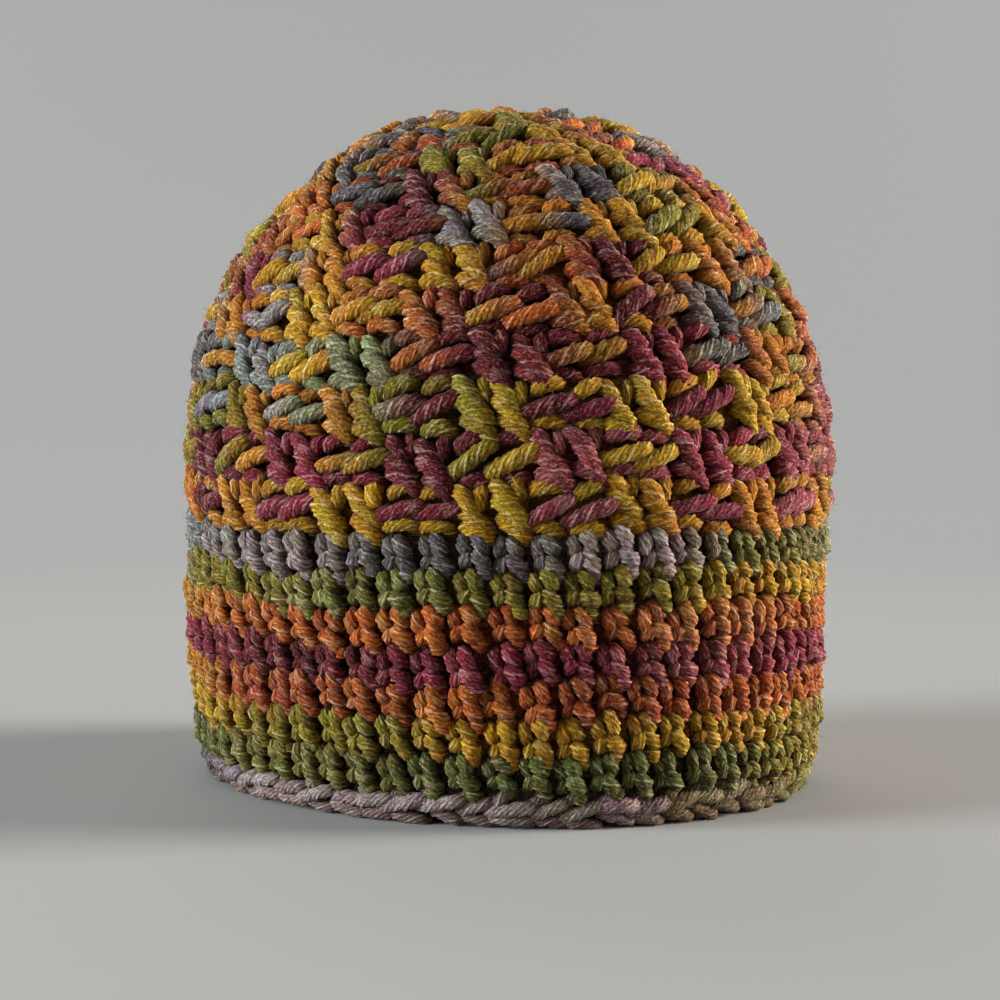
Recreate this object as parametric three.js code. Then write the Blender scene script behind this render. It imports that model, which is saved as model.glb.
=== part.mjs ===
// A crochet beanie: a domed crown of basketweave, a brim band of seven ribbed rounds and a braided edging.
// It rests on its edging. Millimetres, +Z up, front towards -Y. The origin is the middle of the opening, on
// the plane that the edging rests on.
import * as THREE from "three";

// Driving dimensions
const HEIGHT = 196; // from the opening to the top of the crown
const HALF_LENGTH = 103; // front to back, outside, at the widest round
const HALF_WIDTH = 88; // side to side, outside, at the widest round
const WIDEST_AT = 86; // height of the widest round
const RIM_DRAW_IN = 0.05; // share by which the opening is narrower than the widest round
const DOME_POWER = 2.2; // 2 is a plain ellipse over the widest round, and more is fuller
const WALL = 6.5; // thickness of the crochet, two strands deep
const GAP = 0.3; // between the three pieces

// The crochet
const STITCHES = 60; // in each round of the band
const STITCH_PITCH = 10; // width of one stitch
const EDGING_HEIGHT = 8.4;
const BAND_ROUNDS = 7;
const BAND_ROUND_HEIGHT = 9.8;
const CROWN_ROUNDS = 13;
const BLOCK_STITCHES = 2; // a basketweave block is two stitches wide and one round high
const RIB_DEPTH = 2.2; // from the crest of a round down to the groove beside it
const COLUMN_DEPTH = 1; // from the middle of a stitch down to the gap beside it
const BLOCK_RELIEF = 1.3; // how far a block stands above or lies below the crown's face
const BLOCK_EDGE = 0.26; // share of a round's height over which a block rises
const BRAID_SWELL = 0.7; // how far each strand of the braid swells

// How finely the faces are divided
const BAND_POINTS = 2; // for each stitch of the band
const BRAID_POINTS = 3; // for each strand of the edging
const BLOCK_POINTS = 3; // for each block of the crown
const INNER_POINTS = 48; // round the smooth inside
const INNER_STEP = 2; // rounds from one ring of points to the next on the smooth inside
const PROFILE_STEPS = 400;

// The yarn, with its colours averaged over each piece
const CROWN_COLOR = 0xa87c2c;
const BAND_COLOR = 0x9a6a35;
const EDGING_COLOR = 0x8b8380;
const YARN_ROUGHNESS = 0.95;

const BAND_TOP = EDGING_HEIGHT + BAND_ROUNDS * BAND_ROUND_HEIGHT;
const MEAN_RADIUS = (HALF_LENGTH + HALF_WIDTH) / 2;

// The profile: the beanie's width at a height, as a share of the width of its widest round.
function widthShare(height) {
  if (height < WIDEST_AT) {
    const below = (WIDEST_AT - height) / WIDEST_AT;
    return 1 - RIM_DRAW_IN * below * below;
  }
  const above = Math.min(1, (height - WIDEST_AT) / (HEIGHT - WIDEST_AT));
  return Math.pow(1 - Math.pow(above, DOME_POWER), 1 / DOME_POWER);
}

// The crown's profile as a path measured along the cloth, from the top of the band to the centre of the crown.
// The steps follow the turn of the dome, so they stay short where it flattens out.
function crownPath() {
  const path = [];
  let along = 0;
  for (let i = 0; i <= PROFILE_STEPS; i++) {
    const rise = Math.pow(Math.sin((i / PROFILE_STEPS) * (Math.PI / 2)), 2 / DOME_POWER);
    const height = BAND_TOP + (HEIGHT - BAND_TOP) * rise;
    const radius = MEAN_RADIUS * widthShare(height);
    if (i > 0) {
      const last = path[i - 1];
      along += Math.hypot(radius - last.radius, height - last.height);
    }
    path.push({ along, height, radius });
  }
  return path;
}

const CROWN_PATH = crownPath();
const CROWN_LENGTH = CROWN_PATH[PROFILE_STEPS].along;
const CROWN_ROUND_LENGTH = CROWN_LENGTH / CROWN_ROUNDS;

// The place on that path at a distance along it, with the direction that the face looks in.
function crownPlace(distance) {
  let i = 1;
  while (i < PROFILE_STEPS && CROWN_PATH[i].along < distance) i++;
  const from = CROWN_PATH[i - 1];
  const to = CROWN_PATH[i];
  const share = (distance - from.along) / (to.along - from.along);
  return {
    height: from.height + share * (to.height - from.height),
    radius: from.radius + share * (to.radius - from.radius),
    facing: Math.atan2(from.radius - to.radius, to.height - from.height),
  };
}

// A point on the oval at a height, moved out from the cloth's face along the direction it looks in.
// A turn of 0 is the +X side, a quarter is the back, and a turn of 1 is at the +X side again.
function ovalPoint(turn, radius, height, outset, facing = 0) {
  const angle = 2 * Math.PI * turn;
  const share = radius / MEAN_RADIUS;
  const across = new THREE.Vector2(Math.cos(angle) / HALF_WIDTH, Math.sin(angle) / HALF_LENGTH).normalize();
  const level = outset * Math.cos(facing);
  return new THREE.Vector3(
    HALF_WIDTH * share * Math.cos(angle) + across.x * level,
    HALF_LENGTH * share * Math.sin(angle) + across.y * level,
    height + outset * Math.sin(facing),
  );
}

// A ring of points round the oval, each placed by a rule of its turn.
function ring(count, place) {
  return Array.from({ length: count }, (_, i) => place((i + 0.5) / count));
}

// Triangles between two rings, which may have different numbers of points. A ring of one point is a pole.
function bridge(a, b, triangles) {
  let i = 0;
  let j = 0;
  const endA = a.length > 1 ? a.length : 0;
  const endB = b.length > 1 ? b.length : 0;
  while (i < endA || j < endB) {
    const nextA = i < endA ? (i + 1.5) / a.length : Infinity;
    const nextB = j < endB ? (j + 1.5) / b.length : Infinity;
    const pointA = a[i % a.length];
    const pointB = b[j % b.length];
    if (nextA <= nextB) {
      triangles.push(pointA, a[(i + 1) % a.length], pointB);
      i++;
    } else {
      triangles.push(pointA, b[(j + 1) % b.length], pointB);
      j++;
    }
  }
}

// A closed skin through rings in order: down the inside, and then up the outside.
function skin(rings, closed) {
  const triangles = [];
  for (let i = 1; i < rings.length; i++) bridge(rings[i - 1], rings[i], triangles);
  if (closed) bridge(rings[rings.length - 1], rings[0], triangles);
  const geometry = new THREE.BufferGeometry().setFromPoints(triangles);
  geometry.computeVertexNormals();
  return geometry;
}

function piece(name, geometry, color) {
  const material = new THREE.MeshStandardMaterial({
    color,
    roughness: YARN_ROUGHNESS,
    metalness: 0,
    flatShading: true,
  });
  const mesh = new THREE.Mesh(geometry, material);
  mesh.name = name;
  return mesh;
}

// Edging: a slip-stitch braid round the opening. The section is round outside, and flat where it rests.
// Each strand of the braid swells and leans forward as it climbs.
const BRAID_LEAN = 0.45; // of a stitch, from the underside to the top
const EDGING_SECTION = [
  // outset from the face, height, swell of the strands: down the inside, then up the outside
  { outset: -WALL + 0.6, height: EDGING_HEIGHT - GAP, swell: 0 },
  { outset: -WALL - 0.6, height: 4.2, swell: 0 },
  { outset: -WALL + 0.8, height: 0, swell: 0 },
  { outset: -0.4, height: 0, swell: 0 },
  { outset: 0.6, height: 2.6, swell: BRAID_SWELL },
  { outset: 0.8, height: 5.2, swell: BRAID_SWELL },
  { outset: -0.9, height: EDGING_HEIGHT - GAP, swell: BRAID_SWELL / 2 },
];

function edging() {
  const count = STITCHES * BRAID_POINTS;
  const rings = EDGING_SECTION.map(({ outset, height, swell }) =>
    ring(count, (turn) => {
      const lean = (BRAID_LEAN * height) / EDGING_HEIGHT;
      const strand = Math.cos(2 * Math.PI * (STITCHES * turn - lean));
      return ovalPoint(turn, MEAN_RADIUS * widthShare(height), height, outset + swell * strand);
    }),
  );
  return piece("edging", skin(rings, true), EDGING_COLOR);
}

// Brim band: seven rounds of single crochet. Each round is a rib with a groove on either side of it, and the
// gaps between its stitches make upright columns.
function brimBand() {
  const bottom = EDGING_HEIGHT;
  const inside = [];
  const outside = [];
  for (const height of [BAND_TOP - GAP, (bottom + BAND_TOP) / 2, bottom]) {
    inside.push(ring(INNER_POINTS, (turn) => ovalPoint(turn, MEAN_RADIUS * widthShare(height), height, -WALL)));
  }
  for (let half = 0; half <= 2 * BAND_ROUNDS; half++) {
    const groove = half % 2 === 0;
    const height = bottom + (half * BAND_ROUND_HEIGHT) / 2 - (half === 2 * BAND_ROUNDS ? GAP : 0);
    const rib = groove ? -RIB_DEPTH : 0;
    outside.push(
      ring(STITCHES * BAND_POINTS, (turn) => {
        const column = (COLUMN_DEPTH / 2) * (Math.cos(2 * Math.PI * STITCHES * turn + Math.PI / 2) - 1);
        return ovalPoint(turn, MEAN_RADIUS * widthShare(height), height, rib + column);
      }),
    );
  }
  return piece("brim_band", skin([...inside, ...outside], true), BAND_COLOR);
}

// Crown: blocks of raised and sunken post stitches, which change places from one round to the next. The count
// of stitches follows the dome's girth, in whole pairs of blocks.
function stitchesAt(radius) {
  const pair = 2 * BLOCK_STITCHES;
  return pair * Math.max(1, Math.round((2 * Math.PI * radius) / (pair * STITCH_PITCH)));
}

function crown() {
  const outside = [];
  const inside = [];
  for (let round = 0; round < CROWN_ROUNDS; round++) {
    const middle = crownPlace((round + 0.5) * CROWN_ROUND_LENGTH);
    const blocks = stitchesAt(middle.radius) / BLOCK_STITCHES;
    const start = crownPlace(round * CROWN_ROUND_LENGTH);
    const facing = round === 0 ? 0 : start.facing;
    const points = blocks * BLOCK_POINTS;
    outside.push(ring(points, (turn) => ovalPoint(turn, start.radius, start.height, -RIB_DEPTH / 2, facing)));
    for (const share of [BLOCK_EDGE, 1 - BLOCK_EDGE]) {
      const place = crownPlace((round + share) * CROWN_ROUND_LENGTH);
      outside.push(
        ring(points, (turn) => {
          const raised = (Math.floor(turn * blocks) + round) % 2 === 0;
          const relief = raised ? BLOCK_RELIEF : -BLOCK_RELIEF;
          return ovalPoint(turn, place.radius, place.height, relief, place.facing);
        }),
      );
    }
    if (round % INNER_STEP === 0) {
      const count = Math.min(INNER_POINTS, points);
      inside.unshift(ring(count, (turn) => ovalPoint(turn, start.radius, start.height, -WALL, facing)));
    }
  }
  const top = [new THREE.Vector3(0, 0, HEIGHT)];
  const underTop = [new THREE.Vector3(0, 0, HEIGHT - WALL)];
  return piece("crown", skin([underTop, ...inside, ...outside, top], false), CROWN_COLOR);
}

const beanie = new THREE.Group();
beanie.name = "crochet_beanie";
beanie.add(crown(), brimBand(), edging());

export default beanie;
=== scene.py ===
# %% [markdown]
# # A crochet beanie, stitch by stitch
#
# This lesson dresses three plain solids, a crown, a brim band and an edging, as the crochet beanie that
# they stand for. The real one is worked in rounds from one thick yarn that changes colour as it goes.
#
# A picture of stitches laid on a smooth dome would look flat at its edge, where the eye judges knitwear.
# So each stitch is made here from strands of yarn that dive into the cloth and come out again. There are
# about a thousand of them on the face of the cloth and as many on its back, so they aren't placed by hand: a
# stitch is described once, as a short table, and arrays repeat it round the beanie.

# %% Load the fixed frame
import math
from functools import partial

import bpy
import numpy as np
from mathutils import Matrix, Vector


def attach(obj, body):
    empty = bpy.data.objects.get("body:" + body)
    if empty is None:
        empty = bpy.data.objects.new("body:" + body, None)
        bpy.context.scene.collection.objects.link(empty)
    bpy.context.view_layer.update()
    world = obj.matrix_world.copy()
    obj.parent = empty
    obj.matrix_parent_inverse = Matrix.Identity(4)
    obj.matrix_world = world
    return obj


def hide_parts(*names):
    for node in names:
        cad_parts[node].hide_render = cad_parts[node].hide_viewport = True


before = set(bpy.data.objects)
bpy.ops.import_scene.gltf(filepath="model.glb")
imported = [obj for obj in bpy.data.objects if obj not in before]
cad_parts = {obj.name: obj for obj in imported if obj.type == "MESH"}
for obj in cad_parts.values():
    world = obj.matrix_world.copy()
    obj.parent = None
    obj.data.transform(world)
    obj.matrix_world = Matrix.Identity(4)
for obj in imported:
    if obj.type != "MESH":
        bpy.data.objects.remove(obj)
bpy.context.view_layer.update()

# %% [markdown]
# ## The camera and the floor
#
# The beanie is seen from its right and front, at a long lens' distance, and from as low as a floor allows:
# that is where its band and its crown show together.
#
# The floor is the bottom of a wide shallow bowl of paper. Its edge curves up all the way round, as a
# studio's paper sweep does, so no line shows where the floor ends, wherever the camera stands.

# %% Camera
MM = 0.001

CAMERA_AZIMUTH = math.radians(-42)
CAMERA_ELEVATION = math.radians(3)
CAMERA_DISTANCE = 0.67
CAMERA_LENS = 80.0
SENSOR_WIDTH = 36.0
AIM = Vector((0.0, 0.0, 0.082))


def in_scene(name, data):
    """Puts a mesh, a lamp or a camera into the scene."""
    thing = bpy.data.objects.new(name, data)
    bpy.context.scene.collection.objects.link(thing)
    return thing


def make_camera():
    data = bpy.data.cameras.new("camera")
    data.lens = CAMERA_LENS
    data.sensor_width = SENSOR_WIDTH
    camera = in_scene("camera", data)
    level = math.cos(CAMERA_ELEVATION)
    right = math.sin(CAMERA_AZIMUTH) * level
    forward = -math.cos(CAMERA_AZIMUTH) * level
    back = Vector((right, forward, math.sin(CAMERA_ELEVATION)))
    camera.location = AIM + CAMERA_DISTANCE * back
    camera.rotation_euler = (-back).to_track_quat("-Z", "Y").to_euler()
    bpy.context.scene.camera = camera
    return camera


camera = make_camera()
print("camera at", [round(v, 3) for v in camera.location])

# %% [markdown]
# ## Pale paper
#
# Near the beanie the paper is a plain matt grey that takes its light and shadow from the lamps. Further off
# it glows evenly by itself instead, as the cloth of a light tent does when lamps shine on it from outside.
# A plain sheet would be dark behind one side of the beanie and burnt out behind the other, because the
# light is low.
#
# The helpers that come first make nodes, feed them and mix colours, here and for the yarn later on.

# %% Node helpers


def add_node(tree, kind, **settings):
    node = tree.nodes.new(kind)
    for key, value in settings.items():
        setattr(node, key, value)
    return node


def feed(tree, socket, value):
    """Gives a socket a fixed value, or links another socket to it."""
    if isinstance(value, bpy.types.NodeSocket):
        tree.links.new(value, socket)
    else:
        socket.default_value = value


def mixed(tree, share, first, second, blend="MIX"):
    """Two colours mixed by a share. Returns the mix."""
    node = add_node(tree, "ShaderNodeMix", data_type="RGBA", blend_type=blend)
    feed(tree, node.inputs["Factor"], share)
    feed(tree, node.inputs[6], first)
    feed(tree, node.inputs[7], second)
    return node.outputs[2]


def ramp(tree, value, low, high):
    """0 below low, 1 above high, and a smooth rise between them."""
    node = add_node(tree, "ShaderNodeMapRange", interpolation_type="SMOOTHSTEP")
    node.inputs["From Min"].default_value = low
    node.inputs["From Max"].default_value = high
    tree.links.new(value, node.inputs["Value"])
    return node.outputs[0]


# %% Paper
FLOOR_GREY = (0.37, 0.366, 0.358, 1)
WALL_GREY = (0.08, 0.0795, 0.079, 1)
WALL_GLOW = (0.33, 0.328, 0.323, 1)
NO_GLOW = (0, 0, 0, 1)
GLOW_FROM = 0.25
GLOW_AT = 1.0


def pale_paper():
    paper = bpy.data.materials.new("pale_paper")
    paper.use_nodes = True
    tree = paper.node_tree
    shader = tree.nodes["Principled BSDF"]
    shader.inputs["Roughness"].default_value = 1.0
    shader.inputs["Specular IOR Level"].default_value = 0.0
    shader.inputs["Emission Strength"].default_value = 1.0
    place = add_node(tree, "ShaderNodeNewGeometry")
    away = add_node(tree, "ShaderNodeVectorMath", operation="LENGTH")
    tree.links.new(place.outputs["Position"], away.inputs[0])
    glow = ramp(tree, away.outputs["Value"], GLOW_FROM, GLOW_AT)
    tree.links.new(mixed(tree, glow, FLOOR_GREY, WALL_GREY), shader.inputs["Base Color"])
    tree.links.new(mixed(tree, glow, NO_GLOW, WALL_GLOW), shader.inputs["Emission Color"])
    return paper


# %% Floor
FLOOR_MIDDLE = 0.4
FLOOR_RADIUS = 1.3
BOWL_RADIUS = 2.6
BOWL_SEGMENTS = 96
BOWL_STEPS = 16


def make_floor():
    curve = BOWL_RADIUS - FLOOR_RADIUS
    bends = np.linspace(0, math.pi / 2, BOWL_STEPS)
    flat = [FLOOR_MIDDLE, FLOOR_RADIUS]
    radii = np.concatenate([flat, FLOOR_RADIUS + curve * np.sin(bends[1:]), [BOWL_RADIUS]])
    heights = np.concatenate([[0, 0], curve * (1 - np.cos(bends[1:])), [2 * curve]])
    turns = 2 * math.pi * np.arange(BOWL_SEGMENTS) / BOWL_SEGMENTS
    points = [(0.0, 0.0, 0.0)]
    for radius, height in zip(radii, heights):
        points += [(radius * math.cos(t), radius * math.sin(t), height) for t in turns]
    faces = [(0, 1 + i, 1 + (i + 1) % BOWL_SEGMENTS) for i in range(BOWL_SEGMENTS)]
    for step in range(len(radii) - 1):
        low = 1 + step * BOWL_SEGMENTS
        high = low + BOWL_SEGMENTS
        for i in range(BOWL_SEGMENTS):
            after = (i + 1) % BOWL_SEGMENTS
            faces.append((low + i, high + i, high + after, low + after))
    mesh = bpy.data.meshes.new("floor")
    mesh.from_pydata(points, [], faces)
    mesh.shade_smooth()
    floor = in_scene("floor", mesh)
    mesh.materials.append(pale_paper())
    floor.visible_shadow = False
    return floor


floor = make_floor()
print("paper: flat to", FLOOR_RADIUS, "m and", BOWL_RADIUS, "m wide at the top")

# %% [markdown]
# ## Soft lamps
#
# The light comes in low from both sides, warm from the right and cooler from the left, and meets the middle
# of the beanie least. That grazing light is what brings out each strand. A third lamp, high up behind, only
# lifts the edge of the crown off the paper.
#
# The lamps are far away and wide, so every side of the beanie gets the same soft light, and the paper lets
# it through without a shadow.

# %% Lights
LIGHTS = [
    # name, the way to it from the beanie, how wide it looks in degrees, its strength and its colour
    {"name": "key", "way": (1.18, -0.90, 0.32), "width": 26, "strength": 8.3, "colour": (1.0, 0.95, 0.88)},
    {"name": "side", "way": (-1.25, 0.72, 0.30), "width": 28, "strength": 6.0, "colour": (0.87, 0.96, 1.0)},
    {"name": "back", "way": (0.7, 1.3, 1.12), "width": 36, "strength": 0.75, "colour": (1.0, 1.0, 1.0)},
]
ROOM_LIGHT = 0.10
ROOM_COLOUR = (1.0, 0.98, 0.96, 1)


def make_lights():
    for light in LIGHTS:
        data = bpy.data.lights.new(light["name"], "SUN")
        data.energy = light["strength"]
        data.angle = math.radians(light["width"])
        data.color = light["colour"]
        lamp = in_scene(light["name"], data)
        lamp.location = light["way"]
        lamp.rotation_euler = Vector(light["way"]).to_track_quat("Z", "Y").to_euler()
    world = bpy.data.worlds.new("soft_room")
    world.use_nodes = True
    background = world.node_tree.nodes["Background"]
    background.inputs["Color"].default_value = ROOM_COLOUR
    background.inputs["Strength"].default_value = ROOM_LIGHT
    bpy.context.scene.world = world
    bpy.context.scene.view_settings.view_transform = "Standard"


make_lights()
print("lights:", [light["name"] for light in LIGHTS])

# %% [markdown]
# ## The cloth as a map
#
# Every stitch is first laid out flat, as a crocheter's chart shows it, and then wrapped onto the dome. A
# place on the cloth has three numbers: a turn round the beanie, a distance along the cloth from the rim,
# and an outset from its outer face.
#
# The oval and the dome's curve are the ones that the solids were made with, so the yarn lies where they
# are. Working in these three numbers keeps the stitches simple: a stitch doesn't know that it sits on a
# dome.

# %% Sizes of the cloth
HEIGHT = 196 * MM
HALF_LENGTH = 103 * MM
HALF_WIDTH = 88 * MM
WIDEST_AT = 86 * MM
RIM_DRAW_IN = 0.05
DOME_POWER = 2.2
MEAN_RADIUS = (HALF_LENGTH + HALF_WIDTH) / 2

STITCHES = 60
STITCH_PITCH = 10 * MM
EDGING_HEIGHT = 8.4 * MM
BAND_ROUNDS = 7
BAND_ROUND_HEIGHT = 9.8 * MM
BAND_TOP = EDGING_HEIGHT + BAND_ROUNDS * BAND_ROUND_HEIGHT
CROWN_ROUNDS = 13
BLOCK_STITCHES = 2
PATH_STEPS = 600
RIM_STEPS = 60
BELOW_RIM = BAND_TOP / 4  # the path starts a little below the rim, so that strands may hang past it


def width_share(height):
    """The beanie's width at a height, as a share of its widest round's."""
    below = np.clip((WIDEST_AT - height) / WIDEST_AT, 0, None)
    above = np.clip((height - WIDEST_AT) / (HEIGHT - WIDEST_AT), 0, 1)
    return np.where(below > 0, 1 - RIM_DRAW_IN * below**2, (1 - above**DOME_POWER) ** (1 / DOME_POWER))


def cloth_path():
    """The profile from the rim to the middle of the crown: distance along it, radius, height and facing."""
    rise = np.sin(np.linspace(0, math.pi / 2, PATH_STEPS)) ** (2 / DOME_POWER)
    straight = np.linspace(-BELOW_RIM, BAND_TOP, RIM_STEPS)[:-1]
    height = np.concatenate([straight, BAND_TOP + (HEIGHT - BAND_TOP) * rise])
    radius = MEAN_RADIUS * width_share(height)
    radius[-1] = 0
    steps = np.hypot(np.diff(radius), np.diff(height))
    along = np.concatenate([[0], np.cumsum(steps)])
    along += BAND_TOP - np.interp(BAND_TOP, height, along)
    facing = np.arctan2(-np.gradient(radius), np.gradient(height))
    return along, radius, height, facing


PATH_ALONG, PATH_RADIUS, PATH_HEIGHT, PATH_FACING = cloth_path()
CLOTH_LENGTH = float(PATH_ALONG[-1])
CROWN_ROUND_LENGTH = (CLOTH_LENGTH - BAND_TOP) / CROWN_ROUNDS
print("the cloth from rim to middle:", round(CLOTH_LENGTH / MM), "mm")
print("a round of the crown:", round(CROWN_ROUND_LENGTH / MM, 1), "mm")

# %% Wrap the flat chart onto the dome
WANDER_ALONG = 1.1 * MM
WANDER_OUT = 0.9 * MM
CALM_HEIGHT = 4 * EDGING_HEIGHT  # the rounds lie straight at the rim and wander fully from here up
SWAYS = 3
SWAY_START = 1.0
RIPPLES = 7
RIPPLE_SHARE = 0.6
RIPPLE_DRIFT = 9 * MM
BULGES = 5
BULGE_DRIFT = 17 * MM


def on_cloth(turn, along, outset):
    """Places on the beanie for arrays of turns, distances along the cloth and outsets."""
    angle = 2 * math.pi * turn
    calm = np.clip(along / CALM_HEIGHT, 0, 1)
    sway = np.sin(SWAYS * angle + SWAY_START)
    ripple = RIPPLE_SHARE * np.sin(RIPPLES * angle + along / RIPPLE_DRIFT)
    along = along + calm * WANDER_ALONG * (sway + ripple)
    outset = outset + calm * WANDER_OUT * np.sin(BULGES * angle + along / BULGE_DRIFT)
    past = np.clip(along - CLOTH_LENGTH, 0, None)
    radius = np.interp(along, PATH_ALONG, PATH_RADIUS) - past
    height = np.interp(along, PATH_ALONG, PATH_HEIGHT)
    facing = np.interp(along, PATH_ALONG, PATH_FACING)
    across = np.stack([np.cos(angle) / HALF_WIDTH, np.sin(angle) / HALF_LENGTH], -1)
    across /= np.linalg.norm(across, axis=-1, keepdims=True)
    level = outset * np.cos(facing)
    share = radius / MEAN_RADIUS
    x = HALF_WIDTH * share * np.cos(angle) + across[..., 0] * level
    y = HALF_LENGTH * share * np.sin(angle) + across[..., 1] * level
    z = height + outset * np.sin(facing)
    return np.stack([x, y, z], -1)


def stitches_at(along):
    """How many stitches a crown round has at a distance along the cloth: as many pairs of blocks as fit."""
    pair = 2 * BLOCK_STITCHES
    girth = 2 * math.pi * float(np.interp(along, PATH_ALONG, PATH_RADIUS))
    return pair * max(1, round(girth / (pair * STITCH_PITCH)))


def band_along(number):
    """How far along the cloth the middle of a band round lies. Round 1 is next to the edging."""
    return EDGING_HEIGHT + (number - 0.5) * BAND_ROUND_HEIGHT


def crown_along(number):
    """How far along the cloth the middle of a crown round lies. Round 1 is next to the band."""
    return BAND_TOP + (number - 0.5) * CROWN_ROUND_LENGTH


crown_counts = [stitches_at(crown_along(number)) for number in range(1, CROWN_ROUNDS + 1)]
print("stitches in the crown's rounds:", crown_counts)

# %% [markdown]
# ## The colours of the yarn
#
# The yarn is dyed in long stretches, and one stretch lasts for about a round. So a round is mostly one
# colour, drifts into the next one slowly, and never starts on a clean line.
#
# The chart names the colour of each round at a few places round the beanie. A turn of 0.63 faces
# the camera, 0.75 is the front, and the colours in between are mixed. Painting it by round, and not by
# place in the world, is what makes neighbouring rounds stay crisp against each other.

# %% Yarn colours
YARN = {
    # as the eye sees them, red, green and blue from 0 to 255
    "mustard": (172, 134, 18),
    "gold": (174, 112, 18),
    "orange": (168, 88, 26),
    "rust": (148, 66, 26),
    "apricot": (176, 104, 52),
    "magenta": (122, 30, 54),
    "rose": (138, 62, 72),
    "burgundy": (96, 20, 32),
    "olive": (118, 108, 20),
    "green": (84, 90, 38),
    "moss": (104, 104, 42),
    "sage": (118, 124, 84),
    "taupe": (116, 100, 76),
    "slate": (88, 84, 90),
    "mauve": (144, 131, 134),
    "lavender": (128, 118, 122),
    "blue_grey": (118, 124, 128),
}


def linear(colour):
    """A colour as light, which is what a renderer adds up, from the numbers that a screen shows."""
    value = np.array(colour, float) / 255
    return np.where(value <= 0.04045, value / 12.92, ((value + 0.055) / 1.055) ** 2.4)


# %% Colour chart
CHART_ROWS = {
    # round: stretches of yarn, each as a place in hundredths of a turn and the colour there
    "edging": "5 green, 36 slate, 55 mauve, 67 mauve, 72 taupe, 84 moss",
    "band_1": "10 olive, 38 green, 52 moss, 60 green, 70 green, 82 olive",
    "band_2": "5 gold, 40 mustard, 55 olive, 62 mustard, 70 mustard, 84 olive",
    "band_3": "8 mustard, 40 gold, 50 rust, 60 orange, 68 rust, 80 orange",
    "band_4": "5 rose, 40 magenta, 52 burgundy, 62 magenta, 72 rose, 80 magenta",
    "band_5": "10 gold, 40 gold, 50 orange, 60 orange, 72 apricot, 82 orange",
    "band_6": "10 gold, 36 sage, 46 olive, 56 moss, 66 olive, 78 mustard, 88 gold",
    "band_7": "10 magenta, 38 blue_grey, 50 lavender, 60 slate, 68 mauve, 76 moss, 88 sage",
    "crown_1": "5 orange, 38 orange, 46 gold, 54 mustard, 62 mustard, 78 gold, 88 olive",
    "crown_2": "8 olive, 38 olive, 44 burgundy, 52 magenta, 60 burgundy, 66 rose, 74 magenta, 82 rose, "
    "90 mustard",
    "crown_3": "5 blue_grey, 38 rust, 45 olive, 52 gold, 58 olive, 66 mustard, 76 mustard, 84 rose",
    "crown_4": "8 orange, 40 slate, 48 blue_grey, 54 sage, 60 burgundy, 72 magenta, 79 gold, 85 burgundy",
}


def stretches_in(row):
    """A row of the chart as a list of turns and colour names."""
    stretches = []
    for part in row.split(", "):
        place, colour = part.split()
        stretches.append((int(place) / 100, colour))
    return stretches


CHART = {name: stretches_in(row) for name, row in CHART_ROWS.items()}
print("rounds charted by hand:", len(CHART))

# %% [markdown]
# ## The yarn's own repeat
#
# The band's rounds count up from the edging, and the crown's from the band. Above the crown's fourth round
# the patches are short and run into each other, too mixed to chart one by one. There the yarn's repeat
# simply runs on, round after round, in stretches that are never the same length twice.

# %% Repeat
YARN_REPEAT = [
    # the colours in the order they were dyed, and the length of cloth that a stretch of each makes
    {"colour": "mustard", "length": 34},
    {"colour": "orange", "length": 30},
    {"colour": "burgundy", "length": 26},
    {"colour": "gold", "length": 24},
    {"colour": "slate", "length": 20},
    {"colour": "olive", "length": 22},
    {"colour": "rust", "length": 18},
    {"colour": "mustard", "length": 30},
    {"colour": "magenta", "length": 22},
    {"colour": "lavender", "length": 14},
    {"colour": "gold", "length": 28},
]
REPEAT_SEED = 5
CHARTED_ROUNDS = 4
UNEVEN_STRETCH = (0.6, 1.5)
SHORTEST_STRETCH = 12 * MM
CHANGE = 1.8  # how much quicker a colour changes than in a slow drift from one stretch to the next


def repeated_rounds():
    """Charts the rest of the crown from the yarn's repeat."""
    dye = np.random.default_rng(REPEAT_SEED)
    stretch = 0
    for number in range(CHARTED_ROUNDS + 1, CROWN_ROUNDS + 1):
        girth = crown_counts[number - 1] * STITCH_PITCH
        stretches = []
        place = 0.0
        while place < girth - SHORTEST_STRETCH:
            step = YARN_REPEAT[stretch % len(YARN_REPEAT)]
            length = min(step["length"] * MM * dye.uniform(*UNEVEN_STRETCH), girth - place)
            stretches.append(((place + length / 2) / girth, step["colour"]))
            place += length
            stretch += 1
        CHART[f"crown_{number}"] = stretches


repeated_rounds()


def chart_colour(name, turn):
    """The yarn's colour in a round at an array of turns, mixed smoothly between the chart's stretches."""
    stretches = CHART[name]
    turns = np.array([t for t, _ in stretches])
    colours = np.array([linear(YARN[c]) for _, c in stretches])
    turns = np.concatenate([[turns[-1] - 1], turns, [turns[0] + 1]])
    colours = np.concatenate([colours[-1:], colours, colours[:1]])
    at = np.mod(turn, 1.0)
    i = np.clip(np.searchsorted(turns, at, side="right") - 1, 0, len(turns) - 2)
    share = (at - turns[i]) / (turns[i + 1] - turns[i])
    share = np.clip(0.5 + CHANGE * (share - 0.5), 0, 1)
    share = share * share * (3 - 2 * share)
    return colours[i] + share[..., None] * (colours[i + 1] - colours[i])


print("rounds in all:", len(CHART), "and colours of yarn:", len(YARN))

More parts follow.
